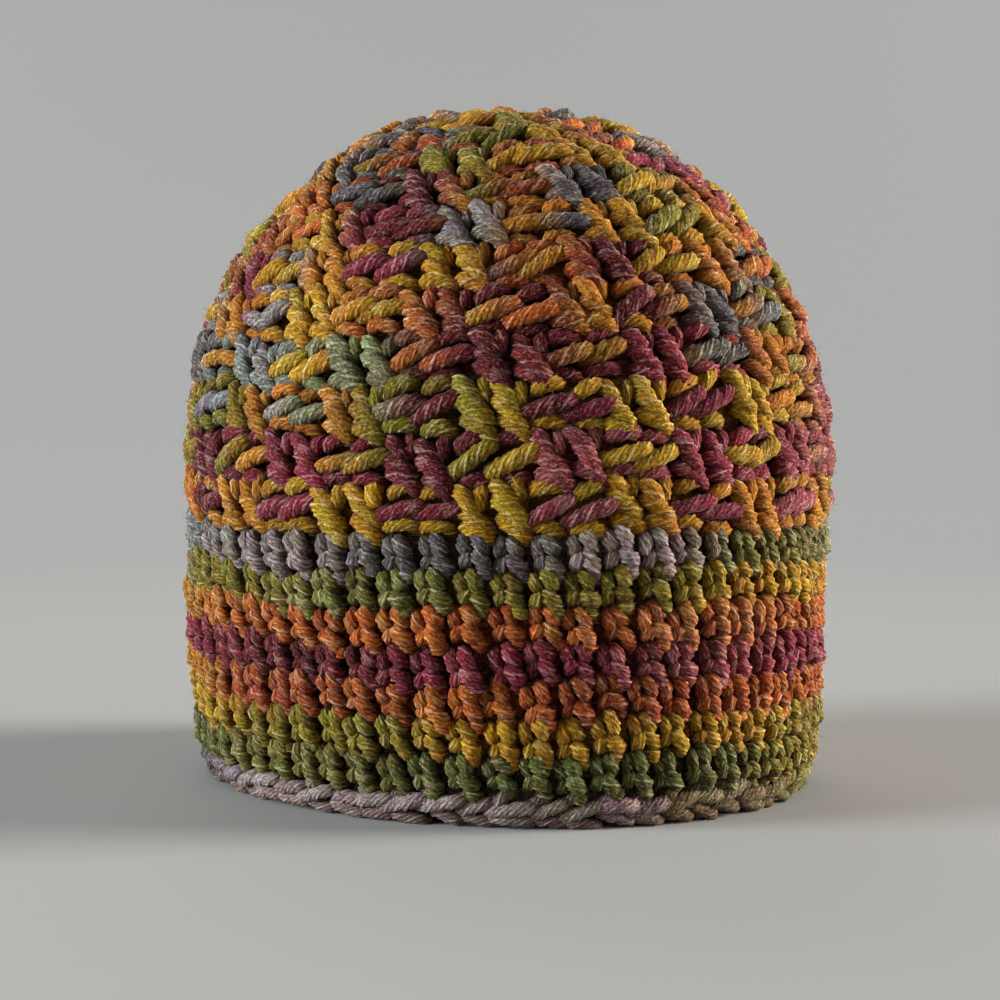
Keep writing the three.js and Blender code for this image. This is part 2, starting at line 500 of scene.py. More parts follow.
# %% [markdown]
# ## A strand of yarn
#
# What shows of a crochet stitch is a few short plump lobes: stretches of yarn that come up out of the
# cloth, lie on it and dive back in. A lobe could be a plain sausage with a bump texture. But this yarn has
# four soft plies, whose twist can be seen even at the edge of the beanie, so the twist is modelled.
#
# The strand's section has eight points, a little high on each ply and low between two. Each section is
# turned further than the last, so the plies wind round the strand for no more faces than a plain tube. Soft
# yarn is squeezed flat where it lies on other yarn, and it is never quite even, so the section is flattened
# and each of its points is moved a little at random.

# %% Strand section
PLIES = 4
SIDES = 2 * PLIES
PLY_PITCH = 14 * MM
PLY_HIGH = 1.04
PLY_LOW = 0.92
UNEVEN = 0.04
FLATTEN = 0.88
END_LENGTH = 0.3  # how far a closed end stands past the last section, as a share of its radius
YARN_START = 60  # each lobe starts somewhere in the first few centimetres of the fibres' pattern
TINY = 1e-12
LOBE_SEED = 7
rng = np.random.default_rng(LOBE_SEED)


def normalised(vectors):
    return vectors / np.maximum(np.linalg.norm(vectors, axis=-1, keepdims=True), TINY)


def tubes(centre, first_side, radius):
    """Twisted tubes in the flat chart, from centre lines (lobes, steps, 3) and radii (lobes, steps).

    Returns the skin's points (lobes, steps, SIDES, 3), the two end tips and the length of yarn at each step.
    """
    lobes, steps, _ = centre.shape
    tangent = normalised(np.gradient(centre, axis=1))
    sides = []
    side = first_side
    for k in range(steps):
        side = normalised(side - (side * tangent[:, k]).sum(-1, keepdims=True) * tangent[:, k])
        sides.append(side)
    side = np.stack(sides, 1)
    other = np.cross(tangent, side)
    lengths = np.linalg.norm(np.diff(centre, axis=1), axis=-1)
    yarn = np.concatenate([np.zeros((lobes, 1)), np.cumsum(lengths, axis=1)], axis=1)
    yarn = yarn + rng.uniform(0, YARN_START, (lobes, 1)) * MM
    around = 2 * math.pi * (np.arange(SIDES) / SIDES + yarn[..., None] / PLY_PITCH)
    ply = np.where(np.arange(SIDES) % 2 == 0, PLY_HIGH, PLY_LOW)
    reach = radius[..., None] * ply * (1 + rng.normal(0, UNEVEN, around.shape))
    away = np.cos(around)[..., None] * side[:, :, None] + np.sin(around)[..., None] * other[:, :, None]
    away[..., 2] *= FLATTEN
    skin = centre[:, :, None] + reach[..., None] * away
    first_tip = centre[:, 0] - END_LENGTH * radius[:, :1] * tangent[:, 0]
    last_tip = centre[:, -1] + END_LENGTH * radius[:, -1:] * tangent[:, -1]
    return skin, np.stack([first_tip, last_tip], 1), yarn


# %% [markdown]
# ## A lobe, and a stitch made of lobes
#
# A lobe follows half an oval standing on its end: up, over and down. Its row in a stitch's table gives
# where its middle lies, how it slants, how long it is and how far it stands out. u runs round the beanie to
# the right, and v down towards the rim.

# %% A lobe's row
LOBE_DEPTH = 3.2


def lobe_row(u, v, slant, half, out, radius, steps, bend=0.0, lean=0.0, depth=LOBE_DEPTH):
    """A lobe in a stitch's table, in millimetres and degrees: middle, slant, half length, outset and radius.

    bend bows it along the cloth, lean lifts its far end, and depth is how far both ends dive.
    """
    row = {"u": u, "v": v, "half": half, "out": out, "radius": radius}
    row.update({"bend": bend, "lean": lean, "depth": depth})
    row = {key: value * MM for key, value in row.items()}
    return {**row, "slant": math.radians(slant), "steps": steps}


# %% [markdown]
# ## No two alike
#
# Stitches made by hand are never the same, so each copy is shifted, turned and stretched a little at
# random. The random numbers start from a fixed seed, so the beanie comes out the same each time.

# %% Lines of the lobes
LOBE_POWER = 0.72
SHIFT = 0.3 * MM
STITCH_DRIFT = (0.55 * MM, 0.5 * MM, 0.35 * MM)
TURN = math.radians(8.5)
STRETCH = 0.08
THIN_END = 0.74


def lobe_lines(count, lobe, drift):
    """Centre lines (count, steps, 3) of a lobe in the flat chart, the way its seam faces, and its radii."""
    slant = lobe["slant"] + rng.normal(0, TURN, count)
    half = lobe["half"] * (1 + rng.normal(0, STRETCH, count))
    u = lobe["u"] + drift[:, 0] + rng.normal(0, SHIFT, count)
    v = lobe["v"] + drift[:, 1] + rng.normal(0, SHIFT, count)
    out = lobe["out"] + drift[:, 2] + rng.normal(0, SHIFT, count)
    swing = np.linspace(0, math.pi, lobe["steps"])
    run = -np.sign(np.cos(swing)) * np.abs(np.cos(swing)) ** LOBE_POWER
    rise = np.sin(swing) ** LOBE_POWER
    x = half[:, None] * run
    y = lobe["bend"] * (1 - run**2) * np.ones_like(x)
    w = out[:, None] - lobe["depth"] * (1 - rise) + lobe["lean"] * run
    cos, sin = np.cos(slant)[:, None], np.sin(slant)[:, None]
    line = np.stack([u[:, None] + x * cos - y * sin, v[:, None] + x * sin + y * cos, w], -1)
    seam = np.stack([np.cos(slant), np.sin(slant), np.zeros(count)], -1)
    thick = lobe["radius"] * (1 + rng.normal(0, STRETCH / 2, count))
    radius = thick[:, None] * (THIN_END + (1 - THIN_END) * rise)
    return line, seam, radius


# %% [markdown]
# ## Shade between the strands
#
# Little light gets down between the strands. The renderer finds most of that shade by itself, but the fuzz
# that catches the rest of it is too fine to model, so a strand also darkens as it dives. Inside the beanie
# the same holds the other way round: there a strand is lit where it stands inwards.

# %% Shade
SHADE_FROM = -4.6 * MM
SHADE_TO = 1.0 * MM
INNER_FROM = -5.0 * MM
INNER_TO = -7.6 * MM
DEEP_SHADE = 0.30
SHADE_POWER = 1.3


def shade_at(outset):
    """How much light gets down to an outset: 1 on the face of the cloth, little between its strands."""
    outer = np.clip((outset - SHADE_FROM) / (SHADE_TO - SHADE_FROM), 0, 1)
    inner = np.clip((outset - INNER_FROM) / (INNER_TO - INNER_FROM), 0, 1)
    return DEEP_SHADE + (1 - DEEP_SHADE) * np.maximum(outer, inner) ** SHADE_POWER


# %% Copies of a lobe
LOBE_TINT = 0.12
END_TINT = 0.09


def lobe_batch(stitch, lobe, colour_of):
    """One lobe of every stitch, wrapped onto the dome, with its colour and its place along the yarn."""
    count = len(stitch["turn"])
    line, seam, radius = lobe_lines(count, lobe, stitch["drift"])
    skin, tips, yarn = tubes(line, seam, radius)
    width = stitch["count"] * STITCH_PITCH

    def wrapped(flat):
        start = stitch["turn"].reshape((count,) + (1,) * (flat.ndim - 2))
        return on_cloth(start + flat[..., 0] / width, stitch["along"] - flat[..., 1], flat[..., 2])

    colour = colour_of(stitch["turn"][:, None] + line[..., 0] / width)
    ends = rng.normal(1, END_TINT, (count, 2, 3))
    along = np.linspace(0, 1, lobe["steps"])[None, :, None]
    tint = ends[:, :1] * (1 - along) + ends[:, 1:] * along
    tint = tint * rng.normal(1, LOBE_TINT, (count, 1, 1))
    return {
        "skin": wrapped(skin),
        "tips": wrapped(tips),
        "yarn": yarn,
        "colour": colour * tint,
        "shade": shade_at(skin[..., 2]),
        "tip_shade": shade_at(tips[..., 2]),
    }


def round_of(count, along, shift=0.0):
    """The stitches of a round: their turns and their place along the cloth."""
    drift = rng.normal(0, 1, (count, 3)) * STITCH_DRIFT
    return {"turn": (np.arange(count) + 0.5 + shift) / count, "along": along, "count": count, "drift": drift}


def chosen(stitch, mask):
    return {**stitch, "turn": stitch["turn"][mask], "drift": stitch["drift"][mask]}


# %% [markdown]
# ## From arrays to a mesh
#
# Blender can make a mesh from long lists in one go, which is far quicker than adding faces one at a time.
# Every corner gets two sets of coordinates. "yarn" says how far along the yarn it is and on which ply, for
# the fibres. "OFBake" gives each lobe a square of its own on a sheet, for when the colours are baked into a
# picture.
#
# The faces are listed for one lobe, and then shifted for each of the others.

# %% Mesh from lobes
BAKE_MARGIN = 0.06
YARN_SCALE = 1000.0


def lobe_faces(steps):
    """Faces of one lobe as rows of four corners, and the cone faces at its ends as rows of three."""
    k, j = np.meshgrid(np.arange(steps - 1), np.arange(SIDES), indexing="ij")
    after = (j + 1) % SIDES
    low = k * SIDES
    high = low + SIDES
    quads = np.stack([low + j, high + j, high + after, low + after], -1).reshape(-1, 4)
    quad_step = np.stack([k, k + 1, k + 1, k], -1).reshape(-1, 4)
    quad_side = np.stack([j, j, j + 1, j + 1], -1).reshape(-1, 4)
    j = np.arange(SIDES)
    after = (j + 1) % SIDES
    start, end = steps * SIDES, steps * SIDES + 1
    last = (steps - 1) * SIDES
    first_cone = np.stack([j, after, np.full(SIDES, start)], -1)
    last_cone = np.stack([last + after, last + j, np.full(SIDES, end)], -1)
    cones = np.concatenate([first_cone, last_cone])
    first_step = np.tile([0, 0, -1], (SIDES, 1))
    last_step = np.tile([steps - 1, steps - 1, steps], (SIDES, 1))
    cone_step = np.concatenate([first_step, last_step])
    cone_side = np.concatenate([np.stack([j, j + 1, j + 0.5], -1), np.stack([j + 1, j, j + 0.5], -1)])
    return quads, quad_step, quad_side, cones, cone_step, cone_side


def mesh_from_batches(name, batches):
    """One mesh of many lobes, with their dye, their shade and both of their maps."""
    total = sum(len(b["skin"]) for b in batches)
    grid = math.ceil(math.sqrt(total))
    points, corners, sizes, yarn_map, bake_map, colours = [], [], [], [], [], []
    base = 0
    cell = 0
    for b in batches:
        lobes, steps = b["skin"].shape[:2]
        quads, quad_step, quad_side, cones, cone_step, cone_side = lobe_faces(steps)
        own = steps * SIDES + 2
        points.append(np.concatenate([b["skin"].reshape(lobes, -1, 3), b["tips"]], 1).reshape(-1, 3))
        skin_colour = np.repeat(b["colour"], SIDES, axis=1)
        tip_colour = b["colour"][:, [0, -1]]
        dye = np.concatenate([skin_colour, tip_colour], 1).reshape(-1, 3)
        shade = np.concatenate([b["shade"].reshape(lobes, -1), b["tip_shade"]], 1).reshape(-1, 1)
        colours.append(np.concatenate([dye, shade], 1))
        yarn = np.concatenate([b["yarn"][:, :1], b["yarn"], b["yarn"][:, -1:]], 1)
        cells = cell + np.arange(lobes)
        corner_at = np.stack([cells % grid, cells // grid], -1)
        for faces, step, side in ((quads, quad_step, quad_side), (cones, cone_step, cone_side)):
            starts = base + own * np.arange(lobes)
            corners.append((starts[:, None, None] + faces).reshape(-1))
            sizes.append(np.full(lobes * len(faces), faces.shape[1]))
            along_yarn = yarn[:, step + 1] * YARN_SCALE
            across = np.broadcast_to(side / SIDES, along_yarn.shape)
            yarn_map.append(np.stack([along_yarn, across], -1).reshape(-1, 2))
            inside = np.stack([(step + 1) / (steps + 1), side / SIDES], -1)
            inside = BAKE_MARGIN + (1 - 2 * BAKE_MARGIN) * inside
            bake_map.append(((corner_at[:, None, None] + inside) / grid).reshape(-1, 2))
        base += lobes * own
        cell += lobes
    return finished_mesh(name, *map(np.concatenate, (points, corners, sizes, yarn_map, bake_map, colours)))


def finished_mesh(name, points, corners, sizes, yarn_map, bake_map, colours):
    """A mesh from long lists: its points, the corners of all faces in turn, and how many each face has."""
    mesh = bpy.data.meshes.new(name)
    mesh.vertices.add(len(points))
    mesh.loops.add(len(corners))
    mesh.polygons.add(len(sizes))
    mesh.vertices.foreach_set("co", points.astype(np.float32).ravel())
    mesh.loops.foreach_set("vertex_index", corners.astype(np.int32))
    mesh.polygons.foreach_set("loop_start", np.concatenate([[0], np.cumsum(sizes)[:-1]]).astype(np.int32))
    mesh.polygons.foreach_set("use_smooth", np.ones(len(sizes), bool))
    mesh.update(calc_edges=True)
    for map_name, values in (("OFBake", bake_map), ("yarn", yarn_map)):
        layer = mesh.uv_layers.new(name=map_name, do_init=False)
        layer.uv.foreach_set("vector", values.astype(np.float32).ravel())
    # the colour's alpha holds each point's painted shade, darker where the yarn dives into the cloth
    tint = mesh.color_attributes.new("yarn_colour_and_shade", "FLOAT_COLOR", "POINT")
    tint.data.foreach_set("color", colours.astype(np.float32).ravel())
    if mesh.validate():
        print("mended:", name)
    return mesh


# %% [markdown]
# ## The look of the yarn
#
# Close up, the yarn is thousands of fine fibres that lie along its plies. Most hold the dye, some stay
# pale, and the grooves between plies hold shade. All three follow the twist, so one node group works them
# out from the "yarn" coordinates and every material uses it. These helpers keep its sums readable.

# %% Helpers for sums


def maths(tree, operation, first, second=None, third=None):
    """A Math node fed by sockets or numbers. Returns its output."""
    node = add_node(tree, "ShaderNodeMath", operation=operation)
    for socket, value in zip(node.inputs, (first, second, third)):
        if value is not None:
            feed(tree, socket, value)
    return node.outputs[0]


def times(tree, first, second):
    return maths(tree, "MULTIPLY", first, second)


def rest_of(tree, value):
    """What a value leaves of 1."""
    return maths(tree, "SUBTRACT", 1.0, value)


def weighted(tree, first, first_share, second, second_share):
    """Two values added up, each by its share."""
    return maths(tree, "MULTIPLY_ADD", first, first_share, times(tree, second, second_share))


def gamma_of(tree, colour, power):
    node = add_node(tree, "ShaderNodeGamma")
    tree.links.new(colour, node.inputs["Color"])
    feed(tree, node.inputs["Gamma"], power)
    return node.outputs[0]


# %% [markdown]
# ## Plies and thin strands
#
# Each ply is spun from two thin strands of its own. They are too fine for the mesh, so they are ridges of
# shade and bump that run along it, two for each ply.

# %% Ridges round the strand
THREADS = 2 * PLIES
PLY_ROUNDNESS = 0.5


def ridges(tree, across, count):
    """Smooth ridges round the strand: 1 on top of each, 0 between two."""
    wave = maths(tree, "COSINE", times(tree, across, 2 * math.pi * count))
    return maths(tree, "MULTIPLY_ADD", wave, 0.5, 0.5)


# %% [markdown]
# ## Fibres, flecks and marl
#
# The fibres come from a noise that is read on a cylinder, not on a flat strip, so that it closes round the
# strand without a seam. Stretching the cylinder makes the specks into streaks along the yarn. They lie
# nearly straight, so they cross the winding plies at a slight angle, as they do in spun yarn.
#
# The marl is the same noise, wide and slow: each ply was dyed a little differently, and stays so for a
# centimetre or two.

# %% Noise along the yarn
FIBRE_SLOPE = 0.045
FIBRES = {"stretch": 1.7, "scale": 2.1, "detail": 4.0}
FLECKS = {"girth": 3.0, "stretch": 1.4, "scale": 1.6, "detail": 2.0}
MARL = {"girth": 0.9, "stretch": 6.0, "scale": 1.0, "detail": 2.0}
NOISE_ROUGHNESS = 0.6


def yarn_noise(tree, along, across, girth, stretch, scale, detail):
    """The outputs of a noise on a cylinder, whose girth and stretch are in millimetres."""
    place = add_node(tree, "ShaderNodeCombineXYZ")
    around = times(tree, across, 2 * math.pi)
    tree.links.new(times(tree, maths(tree, "COSINE", around), girth), place.inputs["X"])
    tree.links.new(times(tree, maths(tree, "SINE", around), girth), place.inputs["Y"])
    tree.links.new(maths(tree, "DIVIDE", along, stretch), place.inputs["Z"])
    noise = add_node(tree, "ShaderNodeTexNoise")
    noise.inputs["Scale"].default_value = scale
    noise.inputs["Detail"].default_value = detail
    noise.inputs["Roughness"].default_value = NOISE_ROUGHNESS
    tree.links.new(place.outputs[0], noise.inputs["Vector"])
    return noise.outputs


# %% [markdown]
# ## Dye that took unevenly
#
# The marl moves the hue and the depth of the dye. A pale fibre has taken up less of it, so it is a light
# tint of the same dye and not plain cream. Here and there a whole ply stays pale for a stretch.

# %% Dye and pale fibres
HUE_DRIFT = 0.12
DEPTH_DRIFT = 1.6
PALE_FIBRES = (0.50, 0.70)
PALE_PLIES = (0.52, 0.62)
BROKEN_BY_FIBRES = 0.4
FIBRE_PALENESS = 0.5
PLY_PALENESS = 0.8
TINT_GAMMA = 0.45
CREAM = (0.70, 0.62, 0.50, 1)
CREAM_SHARE = 0.4


def marled_dye(tree, dye, marl, strength):
    drift = times(tree, maths(tree, "SUBTRACT", marl, 0.5), strength)
    node = add_node(tree, "ShaderNodeHueSaturation")
    feed(tree, node.inputs["Hue"], maths(tree, "MULTIPLY_ADD", drift, HUE_DRIFT, 0.5))
    feed(tree, node.inputs["Value"], maths(tree, "MULTIPLY_ADD", drift, DEPTH_DRIFT, 1.0))
    feed(tree, node.inputs["Color"], dye)
    return node.outputs["Color"]


def with_pale_fibres(tree, dye, fibres, marl, settings):
    pale = times(tree, ramp(tree, fibres, *PALE_FIBRES), settings["Pale Fibres"])
    broken = weighted(tree, fibres, BROKEN_BY_FIBRES, marl, 1 - BROKEN_BY_FIBRES)
    pale_ply = times(tree, ramp(tree, broken, *PALE_PLIES), settings["Marl"])
    pale = maths(tree, "MAXIMUM", times(tree, pale, FIBRE_PALENESS), times(tree, pale_ply, PLY_PALENESS))
    tint = mixed(tree, CREAM_SHARE, gamma_of(tree, dye, TINT_GAMMA), CREAM)
    return mixed(tree, pale, dye, tint)


# %% [markdown]
# ## Shade in the grooves
#
# Grooves and small flecks are darker, and single fibres catch the light or lose it, so the tone is never
# even for a millimetre. All this is multiplied by the shade that each strand got as it dived.
#
# Light that gets down there has bounced from strand to strand and has taken on more of the dye each time.
# So a hollow isn't grey: red lasts longest in it, and its colour deepens.

# %% Tone and warm shade
PLY_TONE = 0.45
THREAD_TONE = 0.55
DARK_FLECKS = (0.50, 0.34)
FLECK_SHADE = 0.55
GRAIN = (0.34, 0.66)
CHANNEL_POWERS = {"Red": 0.8, "Green": 1.05, "Blue": 1.35}
DEEPENING = 0.55


def tone_of(tree, ply, thread, fibres, flecks, settings):
    """How light a place on the yarn is."""
    raised = weighted(tree, ply, PLY_TONE, thread, THREAD_TONE)
    groove = times(tree, rest_of(tree, raised), settings["Groove Shade"])
    dark = times(tree, ramp(tree, flecks, *DARK_FLECKS), FLECK_SHADE)
    light = times(tree, rest_of(tree, groove), rest_of(tree, dark))
    grain = maths(tree, "SUBTRACT", ramp(tree, fibres, *GRAIN), 0.5)
    light = times(tree, light, maths(tree, "MULTIPLY_ADD", grain, settings["Grain"], 1.0))
    return times(tree, light, settings["Shade"])


def warm_shade(tree, colour, light, shade):
    grey = add_node(tree, "ShaderNodeCombineColor")
    for channel, power in CHANNEL_POWERS.items():
        tree.links.new(maths(tree, "POWER", light, power), grey.inputs[channel])
    deep = gamma_of(tree, colour, maths(tree, "MULTIPLY_ADD", rest_of(tree, shade), DEEPENING, 1.0))
    return mixed(tree, 1.0, deep, grey.outputs[0], blend="MULTIPLY")


# %% Node group: plied fibres
SETTINGS = {"Pale Fibres": 0.5, "Groove Shade": 0.5, "Marl": 0.5, "Grain": 0.7, "Fibre Girth": 2.6}
FIBRE_HEIGHT = 0.7
PLY_HEIGHT = 0.35
THREAD_HEIGHT = 0.5


def empty_group():
    """The group with its sockets: what a material gives it, and the colour and height that it gives back."""
    group = bpy.data.node_groups.new("plied_fibres", "ShaderNodeTree")
    face = group.interface
    face.new_socket("Yarn Colour", in_out="INPUT", socket_type="NodeSocketColor")
    face.new_socket("Shade", in_out="INPUT", socket_type="NodeSocketFloat")
    for name, value in SETTINGS.items():
        socket = face.new_socket(name, in_out="INPUT", socket_type="NodeSocketFloat")
        socket.default_value = value
    face.new_socket("Colour", in_out="OUTPUT", socket_type="NodeSocketColor")
    face.new_socket("Height", in_out="OUTPUT", socket_type="NodeSocketFloat")
    return group


def plied_fibres():
    group = empty_group()
    settings = add_node(group, "NodeGroupInput").outputs
    leave = add_node(group, "NodeGroupOutput")
    place = add_node(group, "ShaderNodeUVMap", uv_map="yarn")
    parts = add_node(group, "ShaderNodeSeparateXYZ")
    group.links.new(place.outputs["UV"], parts.inputs[0])
    along = parts.outputs["X"]
    across = parts.outputs["Y"]

    ply = maths(group, "POWER", ridges(group, across, PLIES), PLY_ROUNDNESS)
    thread = ridges(group, across, THREADS)
    straight = maths(group, "MULTIPLY_ADD", along, FIBRE_SLOPE, across)
    fibres = yarn_noise(group, along, straight, settings["Fibre Girth"], **FIBRES)["Fac"]
    flecks = yarn_noise(group, along, across, **FLECKS)["Fac"]
    marl = add_node(group, "ShaderNodeSeparateColor")
    group.links.new(yarn_noise(group, along, across, **MARL)["Color"], marl.inputs[0])

    dye = marled_dye(group, settings["Yarn Colour"], marl.outputs["Red"], settings["Marl"])
    dye = with_pale_fibres(group, dye, fibres, marl.outputs["Green"], settings)
    light = tone_of(group, ply, thread, fibres, flecks, settings)
    group.links.new(warm_shade(group, dye, light, settings["Shade"]), leave.inputs["Colour"])
    relief = weighted(group, ply, PLY_HEIGHT, thread, THREAD_HEIGHT)
    height = maths(group, "MULTIPLY_ADD", fibres, FIBRE_HEIGHT, relief)
    group.links.new(height, leave.inputs["Height"])
    return group


PLIED = plied_fibres()
print("group", PLIED.name, "with", len(PLIED.nodes), "nodes")

# %% [markdown]
# ## Three finishes
#
# It is one yarn all over, but it was worked differently. The posts of the crown are pulled long and smooth,
# the band is dense, and the edging is rubbed by wear, so more of its pale fibres show. Each is a material
# of its own.

# %% Yarn materials
YARN_ROUGHNESS = 0.85
YARN_GLOSS = 0.12
YARN_SHEEN = 0.06
SHEEN_ROUGHNESS = 0.4
BUMP_STRENGTH = 0.7
BUMP_HEIGHT = 0.6 * MM


def yarn_material(name, pale, groove, marl):
    material = bpy.data.materials.new(name)
    material.use_nodes = True
    tree = material.node_tree
    shader = tree.nodes["Principled BSDF"]
    shader.inputs["Roughness"].default_value = YARN_ROUGHNESS
    shader.inputs["Specular IOR Level"].default_value = YARN_GLOSS
    shader.inputs["Sheen Weight"].default_value = YARN_SHEEN
    shader.inputs["Sheen Roughness"].default_value = SHEEN_ROUGHNESS
    dye = add_node(tree, "ShaderNodeAttribute", attribute_name="yarn_colour_and_shade")
    fibres = add_node(tree, "ShaderNodeGroup", node_tree=PLIED)
    fibres.inputs["Pale Fibres"].default_value = pale
    fibres.inputs["Groove Shade"].default_value = groove
    fibres.inputs["Marl"].default_value = marl
    tree.links.new(dye.outputs["Color"], fibres.inputs["Yarn Colour"])
    # the attribute's alpha is the painted shade that the group darkens the yarn by
    tree.links.new(dye.outputs["Alpha"], fibres.inputs["Shade"])
    tree.links.new(fibres.outputs["Colour"], shader.inputs["Base Color"])
    bump = add_node(tree, "ShaderNodeBump")
    bump.inputs["Strength"].default_value = BUMP_STRENGTH
    bump.inputs["Distance"].default_value = BUMP_HEIGHT
    tree.links.new(fibres.outputs["Height"], bump.inputs["Height"])
    tree.links.new(bump.outputs["Normal"], shader.inputs["Normal"])
    return material


YARNS = {
    "crown_yarn": yarn_material("crown_yarn", pale=0.8, groove=0.65, marl=0.6),
    "band_yarn": yarn_material("band_yarn", pale=0.85, groove=0.7, marl=0.55),
    "edging_yarn": yarn_material("edging_yarn", pale=1.0, groove=0.6, marl=0.5),
}

# %% Placing a piece
made = {"crown": [], "brim_band": [], "edging": []}


def place_piece(name, mesh, node, slot):
    """Adds a mesh as a piece that stands for a solid and has the finish of a slot."""
    piece = in_scene(name, mesh)
    mesh.materials.append(YARNS[slot])
    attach(piece, "root")
    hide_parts(node)
    triangles = sum(len(p.vertices) - 2 for p in mesh.polygons)
    print(name, "triangles:", triangles)
    return piece


# %% [markdown]
# ## The brim band
#
# The band is single crochet, worked from the crown down, so its stitches stand upside down. Each one shows
# an arch of two lobes above, and two more under it that lean apart. A last knob runs on to the lower right,
# into the gap between two stitches of the next round. The dark hollow under the arch is as much a part of
# the look as the yarn is.
#
# A round is one piece. That keeps each mesh small enough to handle, and gives each round its own sheet when
# its colours are baked.

# %% Single crochet
SINGLE_CROCHET = [
    # u, v, slant, half length, outset, radius and steps
    lobe_row(-2.8, -2.7, 76, 2.0, -0.9, 2.1, 8),
    lobe_row(0.9, -3.4, 58, 2.4, -0.4, 2.25, 8, bend=-0.3),
    lobe_row(-1.7, 1.1, -58, 1.4, -0.6, 2.1, 6),
    lobe_row(1.9, 1.3, 42, 2.1, -0.1, 2.35, 8),
    lobe_row(3.0, 4.6, 30, 1.4, -0.9, 2.1, 6),
]
ROUND_SLIP = -0.05  # each round starts a little to one side of the next, as a share of a stitch


def band_round(number):
    """One round of the band. Number 1 is next to the edging."""
    stitch = round_of(STITCHES, band_along(number), shift=ROUND_SLIP * (BAND_ROUNDS - number))
    colour = partial(chart_colour, f"band_{number}")
    batches = [lobe_batch(stitch, lobe, colour) for lobe in SINGLE_CROCHET]
    made["brim_band"] += batches
    name = f"band_round_{number}"
    return place_piece(name, mesh_from_batches(name, batches), "brim_band", "band_yarn")


for number in range(1, BAND_ROUNDS + 1):
    band_round(number)

# %% [markdown]
# ## The crown
#
# The crown is a basketweave. Pairs of front posts stand proud of the cloth, as three fat slanted lobes one
# above the other and a small upright one that fills the corner. Pairs of back posts lie behind it, so there
# the edge of the round above shows as a bar across, with the new yarn hooked over and under it. The pairs
# change places in every round.
#
# The bar is in the colour of the round above, because it is that round's own edge. Leaving that out would
# turn the basket into plain stripes.

# %% Post stitches
FRONT_POST = [
    # u, v, slant, half length, outset, radius and steps
    lobe_row(2.8, -4.8, 104, 2.6, -1.0, 2.3, 8),
    lobe_row(-1.8, -3.9, 50, 3.9, -0.3, 2.5, 10, bend=-0.8),
    lobe_row(0.1, 0.6, 40, 4.8, 0.1, 2.6, 11, bend=-0.7),
    lobe_row(1.2, 5.0, 28, 4.5, -0.4, 2.5, 11, bend=-0.9),
]
BACK_POST = [
    lobe_row(0.2, -5.5, -15, 4.2, -0.9, 2.4, 10, bend=-0.8),
    lobe_row(0.1, 4.9, 6, 4.2, -1.5, 2.4, 10, bend=-1.3),
]
BAR = lobe_row(0.0, -0.4, -20, 7.6, -0.1, 2.6, 16, lean=0.8)


def crown_round(number):
    """One round of the crown. Number 1 is next to the band."""
    stitch = round_of(crown_counts[number - 1], crown_along(number))
    block = np.arange(stitch["count"]) // BLOCK_STITCHES
    front = (block + number) % 2 == 1
    own = partial(chart_colour, f"crown_{number}")
    above = partial(chart_colour, f"crown_{min(number + 1, CROWN_ROUNDS)}")
    batches = [lobe_batch(chosen(stitch, front), lobe, own) for lobe in FRONT_POST]
    batches += [lobe_batch(chosen(stitch, ~front), lobe, own) for lobe in BACK_POST]
    batches.append(lobe_batch(chosen(stitch, ~front), BAR, above))
    made["crown"] += batches
    name = f"crown_round_{number:02d}"
    return place_piece(name, mesh_from_batches(name, batches), "crown", "crown_yarn")


for number in range(1, CROWN_ROUNDS):
    crown_round(number)

# %% [markdown]
# ## The middle of the crown
#
# The last few stitches are gathered on one strand and drawn shut, so the middle is a swirl of lobes round a
# small dark hole. The map used so far would squeeze them to points there, because a turn has no width at
# the middle. So these lobes are laid out flat, each turned about the middle, and only then dropped onto the
# dome.

# %% Swirl in the middle
SWIRL = [
    # how many, how far from the middle, and the lobe that is repeated
    {"count": 11, "reach": 10.4, "lobe": lobe_row(0.0, 0.0, 28, 3.9, -0.7, 2.4, 10, bend=-0.6)},
    {"count": 6, "reach": 4.6, "lobe": lobe_row(0.0, 0.0, 62, 3.6, -0.4, 2.2, 10, bend=-0.5)},
]


def on_middle(turn, reach, flat):
    """Places near the middle of the crown: u runs round it and v away from it."""
    away = reach + flat[..., 1]
    x = (away * np.cos(turn) - flat[..., 0] * np.sin(turn)) * HALF_WIDTH / MEAN_RADIUS
    y = (away * np.sin(turn) + flat[..., 0] * np.cos(turn)) * HALF_LENGTH / MEAN_RADIUS
    radius = np.hypot(x * MEAN_RADIUS / HALF_WIDTH, y * MEAN_RADIUS / HALF_LENGTH)
    dome = PATH_HEIGHT > WIDEST_AT
    height = np.interp(-radius, -PATH_RADIUS[dome], PATH_HEIGHT[dome])
    return np.stack([x, y, height + flat[..., 2]], -1)


def crown_middle():
    batches = []
    for ring in SWIRL:
        count = ring["count"]
        lobe = ring["lobe"]
        reach = ring["reach"] * MM
        stitch = round_of(count, CLOTH_LENGTH)
        line, seam, radius = lobe_lines(count, lobe, stitch["drift"])
        skin, tips, yarn = tubes(line, seam, radius)
        angle = 2 * math.pi * stitch["turn"]
        dye = chart_colour(f"crown_{CROWN_ROUNDS}", stitch["turn"])
        colour = dye[:, None] * np.ones((1, lobe["steps"], 1))
        batches.append(
            {
                "skin": on_middle(angle[:, None, None], reach, skin),
                "tips": on_middle(angle[:, None], reach, tips),
                "yarn": yarn,
                "colour": colour * rng.normal(1, LOBE_TINT, (count, 1, 1)),
                "shade": shade_at(skin[..., 2]),
                "tip_shade": shade_at(tips[..., 2]),
            }
        )
    made["crown"] += batches
    name = f"crown_round_{CROWN_ROUNDS}"
    return place_piece(name, mesh_from_batches(name, batches), "crown", "crown_yarn")


crown_middle()

